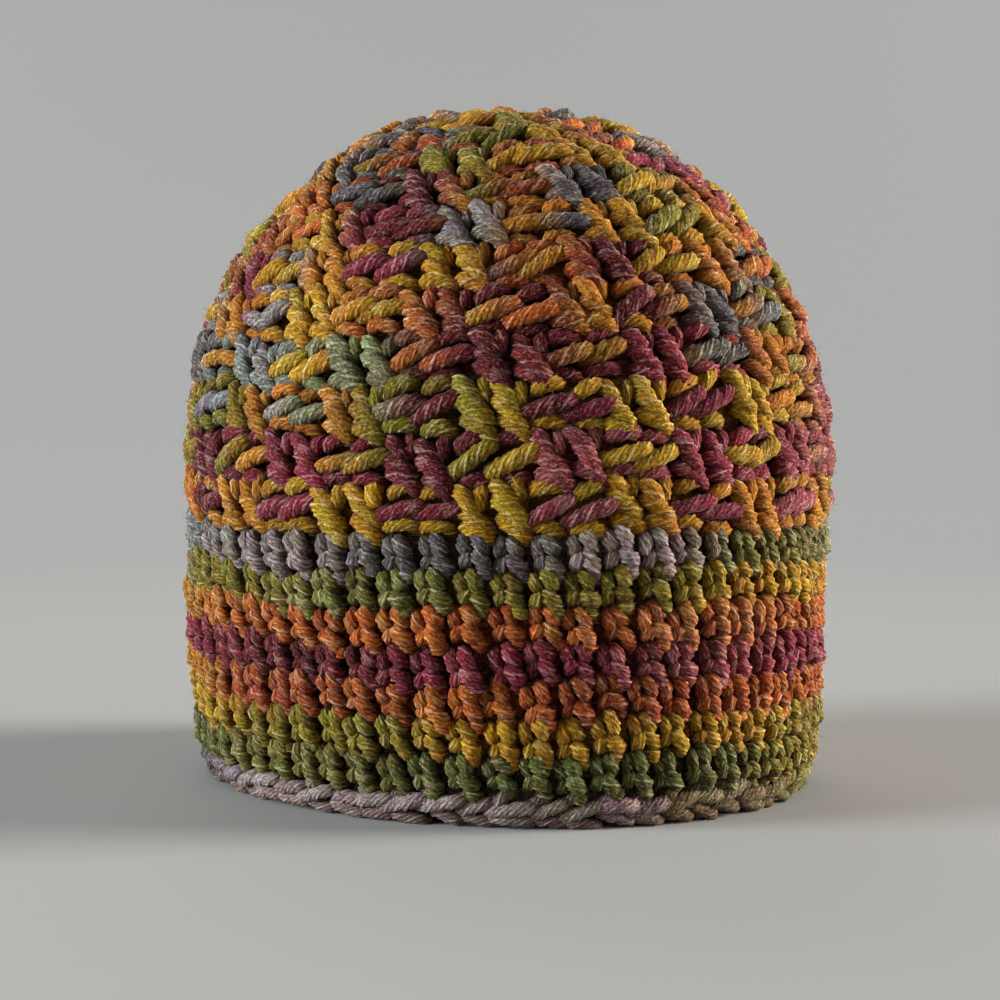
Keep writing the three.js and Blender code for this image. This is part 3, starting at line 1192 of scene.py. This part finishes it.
# %% [markdown]
# ## The edging
#
# The opening is finished with slip stitches, which lie along the edge as a chain of Vs on their sides. The
# upper leg of each V is a long strand that slants up over the start of the next one, the lower leg shows
# under it, and a small lobe fills the corner above. A fourth one closes the chain on the inside.
#
# It is also what the beanie rests on, so its lowest strands come down to the floor and no further.

# %% Slip-stitch braid
BRAID = [
    # u, v, slant, half length, outset, radius and steps
    lobe_row(0.2, -1.2, -12, 6.4, -0.7, 2.2, 18, lean=0.5, depth=2.6),
    lobe_row(0.6, 2.1, 9, 5.4, -1.7, 2.0, 16, depth=2.0),
    lobe_row(-2.4, -3.9, -30, 2.2, -1.6, 1.85, 10),
    lobe_row(0.0, 1.6, -6, 5.4, -5.0, 1.75, 14, depth=1.6),
]
BRAID_MIDDLE = 4.3 * MM


def edging():
    stitch = round_of(STITCHES, BRAID_MIDDLE)
    colour = partial(chart_colour, "edging")
    batches = [lobe_batch(stitch, lobe, colour) for lobe in BRAID]
    for b in batches:
        for part in ("skin", "tips"):
            b[part][..., 2] = np.maximum(b[part][..., 2], 0)
    made["edging"] += batches
    mesh = mesh_from_batches("edging_braid", batches)
    resting = sum(v.co.z == 0 for v in mesh.vertices)
    print("points of the braid that rest on the floor:", resting)
    return place_piece("edging_braid", mesh, "edging", "edging_yarn")


edging()

# %% [markdown]
# ## Fuzz
#
# Soft yarn is never smooth at its edge: loose fibres stand off it and catch the light. A hair system would
# make them, but hair has no faces, and this beanie has to be a mesh all over. So each fibre here is a thin
# spike of ten triangles, bent in the middle, that starts just inside a strand.
#
# They only grow on the strands' outer faces. Deep in the cloth nobody would see them.

# %% Places for fibres
LIT_ENOUGH = 0.55
TRIES = 4  # places drawn for each fibre that is wanted, as most of them are too deep


def fuzz_places(batches, count):
    """Picks places on the strands' outer faces: a point, the way that the skin faces there, and the dye."""
    weights = np.array([len(b["skin"]) * b["skin"].shape[1] for b in batches], float)
    shares = rng.multinomial(count, weights / weights.sum())
    points, facings, dyes = [], [], []
    for b, share in zip(batches, shares):
        lobes, steps = b["skin"].shape[:2]
        lobe = rng.integers(0, lobes, TRIES * share)
        step = rng.integers(1, steps - 1, TRIES * share)
        side = rng.integers(0, SIDES, TRIES * share)
        keep = np.flatnonzero(b["shade"][lobe, step, side] > LIT_ENOUGH)[:share]
        lobe, step, side = lobe[keep], step[keep], side[keep]
        point = b["skin"][lobe, step, side]
        middle = b["skin"][lobe, step].mean(axis=1)
        points.append(point)
        facings.append(normalised(point - middle))
        dyes.append(b["colour"][lobe, step])
    return np.concatenate(points), np.concatenate(facings), np.concatenate(dyes)


# %% Shape of a fibre
FUZZ_LENGTH = (1.2 * MM, 3.6 * MM)
FUZZ_RADIUS = 0.05 * MM
FUZZ_BEND_RADIUS = 0.7 * FUZZ_RADIUS
FUZZ_ROOT = 0.25 * MM
FUZZ_SPREAD = 0.6
FUZZ_CURL = 0.9
FUZZ_SIDES = 3
OFF_LINE = 0.01  # keeps a fibre's two halves from lying on one line, where they would have no side


def spikes(point, facing):
    """The seven points of each fibre: three round its root, three round its bend, and its tip."""
    count = len(point)
    length = rng.uniform(*FUZZ_LENGTH, (count, 1))
    start = normalised(facing + rng.normal(0, FUZZ_SPREAD, (count, 3)))
    end = normalised(start + rng.normal(0, FUZZ_CURL, (count, 3)))
    root = point - FUZZ_ROOT * facing
    bend = root + 0.5 * length * start
    tip = bend + 0.5 * length * end
    side = normalised(np.cross(start, end + OFF_LINE))
    other = np.cross(start, side)
    rings = []
    for centre, radius in ((root, FUZZ_RADIUS), (bend, FUZZ_BEND_RADIUS)):
        for k in range(FUZZ_SIDES):
            angle = 2 * math.pi * k / FUZZ_SIDES
            rings.append(centre + radius * (math.cos(angle) * side + math.sin(angle) * other))
    points = np.stack(rings + [tip], 1)
    points[..., 2] = np.maximum(points[..., 2], 0)
    return points


# %% Mesh of fibres
SPIKE_POINTS = 2 * FUZZ_SIDES + 1
SPIKE_QUADS = [(k, (k + 1) % 3, 3 + (k + 1) % 3, 3 + k) for k in range(FUZZ_SIDES)]
SPIKE_TRIANGLES = [(3 + k, 3 + (k + 1) % 3, 6) for k in range(FUZZ_SIDES)] + [(2, 1, 0)]
SPIKE_AROUND = np.array([0.1, 0.5, 0.9, 0.1, 0.5, 0.9, 0.5])
SPIKE_UP = np.array([0.1, 0.1, 0.1, 0.5, 0.5, 0.5, 0.9])
SPIKE_YARN = 3
SPIKE_SHIFT = (1.7, 0.3)
# painted light: how much lighter a loose fibre's dye is made, for the light that it catches
FUZZ_LIGHT = 1.35


def fuzz(name, batches, count, node, slot):
    """A piece of loose fibres that grow on some lobes, in their dye painted lighter for the light they
    catch.
    """
    point, facing, dye = fuzz_places(batches, count)
    count = len(point)
    points = spikes(point, facing)
    corners, sizes = [], []
    starts = SPIKE_POINTS * np.arange(count)[:, None, None]
    for faces in (SPIKE_QUADS, SPIKE_TRIANGLES):
        faces = np.array(faces)
        corners.append((starts + faces).reshape(-1))
        sizes.append(np.full(count * len(faces), faces.shape[1]))
    corners = np.concatenate(corners)
    grid = math.ceil(math.sqrt(count))
    cell = corners // SPIKE_POINTS
    around = SPIKE_AROUND[corners % SPIKE_POINTS]
    upward = SPIKE_UP[corners % SPIKE_POINTS]
    bake = np.stack([cell % grid + around, cell // grid + upward], -1) / grid
    yarn = np.stack([upward * SPIKE_YARN + cell * SPIKE_SHIFT[0], around + cell * SPIKE_SHIFT[1]], -1)
    colours = np.concatenate([dye * FUZZ_LIGHT, np.ones((count, 1))], 1)
    colours = np.repeat(colours, SPIKE_POINTS, axis=0)
    mesh = finished_mesh(name, points.reshape(-1, 3), corners, np.concatenate(sizes), yarn, bake, colours)
    return place_piece(name, mesh, node, slot)


fuzz("crown_fuzz", made["crown"], 9500, "crown", "crown_yarn")
fuzz("band_fuzz", made["brim_band"], 7000, "brim_band", "band_yarn")
fuzz("edging_fuzz", made["edging"], 800, "edging", "edging_yarn")

# %% [markdown]
# ## The back of the cloth
#
# Between the lobes the eye meets the inside of the stitches, and through the opening it meets the back of
# the cloth. So a thin wall of the same yarn closes the gaps, and lobes turned inwards cover it on the
# inside. Both of the wall's faces are painted with shade, its inner face more than its outer one, so that
# the lobes stand out from it.

# %% Backing wall
BACKING_OUT = -4.3 * MM
BACKING_IN = -5.0 * MM
BACKING_TURNS = 96
# painted shade of the wall: its outer face a little darker, its inner face darker still
BACKING_SHADE = 0.75
BACKING_INNER_SHADE = 0.4
BACKING_YARN = (6.0, 0.9)  # how far the fibres' pattern runs on from one face of the wall to the next


def round_name(along):
    """The chart's name for the round at a distance along the cloth."""
    if along < EDGING_HEIGHT:
        return "edging"
    if along < BAND_TOP:
        return f"band_{min(BAND_ROUNDS, 1 + int((along - EDGING_HEIGHT) / BAND_ROUND_HEIGHT))}"
    return f"crown_{min(CROWN_ROUNDS, 1 + int((along - BAND_TOP) / CROWN_ROUND_LENGTH))}"


def wall(name, low, high, steps, node, slot):
    """A closed wall of yarn between two distances along the cloth."""
    along = np.linspace(low, high, steps)
    up = np.concatenate([along, along[::-1]])
    out = np.concatenate([np.full(steps, BACKING_OUT), np.full(steps, BACKING_IN)])
    turn = np.arange(BACKING_TURNS) / BACKING_TURNS
    turns, ups = np.meshgrid(turn, up)
    outs = np.repeat(out[:, None], BACKING_TURNS, axis=1)
    places = on_cloth(turns, ups, outs).reshape(-1, 3)
    dye = np.stack([chart_colour(round_name(float(a)), turn) for a in up]).reshape(-1, 3)
    # painted shade on the wall's outer and inner faces
    shade = np.repeat([BACKING_SHADE, BACKING_INNER_SHADE], steps * BACKING_TURNS)
    colours = np.concatenate([dye, shade[:, None]], 1)
    rows, columns = len(up), BACKING_TURNS
    i, j = [index.ravel() for index in np.meshgrid(np.arange(rows), np.arange(columns), indexing="ij")]
    after = (i + 1) % rows
    right = (j + 1) % columns
    low = i * columns
    high = after * columns
    corners = np.stack([low + j, low + right, high + right, high + j], -1).ravel()
    around = np.stack([j, j + 1, j + 1, j], -1)
    upward = np.stack([i, i, i + 1, i + 1], -1)
    yarn = np.stack([around * BACKING_YARN[0], upward * BACKING_YARN[1]], -1).reshape(-1, 2)
    bake = np.stack([around / columns, upward / rows], -1).reshape(-1, 2)
    sizes = np.full(rows * columns, 4)
    mesh = finished_mesh(name, places, corners, sizes, yarn, bake, colours)
    return place_piece(name, mesh, node, slot)


BAND_LOW = 2.5 * MM
HALF_GAP = 0.2 * MM
CROWN_HOLE = 1.5 * MM
wall("band_backing", BAND_LOW, BAND_TOP - HALF_GAP, 16, "brim_band", "band_yarn")
wall("crown_backing", BAND_TOP + HALF_GAP, CLOTH_LENGTH - CROWN_HOLE, 40, "crown", "crown_yarn")

# %% Reverse stitches
BAND_REVERSE = [
    # u, v, slant, half length, outset, radius and steps; a depth below nothing makes the ends dive outwards
    lobe_row(0.0, 0.0, 14, 4.4, -6.0, 2.0, 6, depth=-1.8),
    lobe_row(2.5, 4.6, -50, 2.6, -5.6, 1.8, 5, depth=-1.4),
]
CROWN_REVERSE = [
    lobe_row(0.0, -1.0, 14, 5.0, -6.2, 2.5, 6, depth=-1.4),
    lobe_row(2.2, 4.6, -64, 3.9, -6.0, 2.6, 5, depth=-1.0),
]


def reverse_side(name, rounds, lobes, node, slot):
    """Lobes on the inside, for a list of rounds given as (chart name, stitches, place along the cloth)."""
    batches = []
    for chart_name, count, along in rounds:
        stitch = round_of(count, along)
        colour = partial(chart_colour, chart_name)
        batches += [lobe_batch(stitch, lobe, colour) for lobe in lobes]
    return place_piece(name, mesh_from_batches(name, batches), node, slot)


band_rounds = [(f"band_{n}", STITCHES, band_along(n)) for n in range(1, BAND_ROUNDS + 1)]
crown_rounds = [(f"crown_{n}", crown_counts[n - 1], crown_along(n)) for n in range(1, CROWN_ROUNDS + 1)]
reverse_side("band_reverse", band_rounds, BAND_REVERSE, "brim_band", "band_yarn")
reverse_side("crown_reverse", crown_rounds, CROWN_REVERSE, "crown", "crown_yarn")
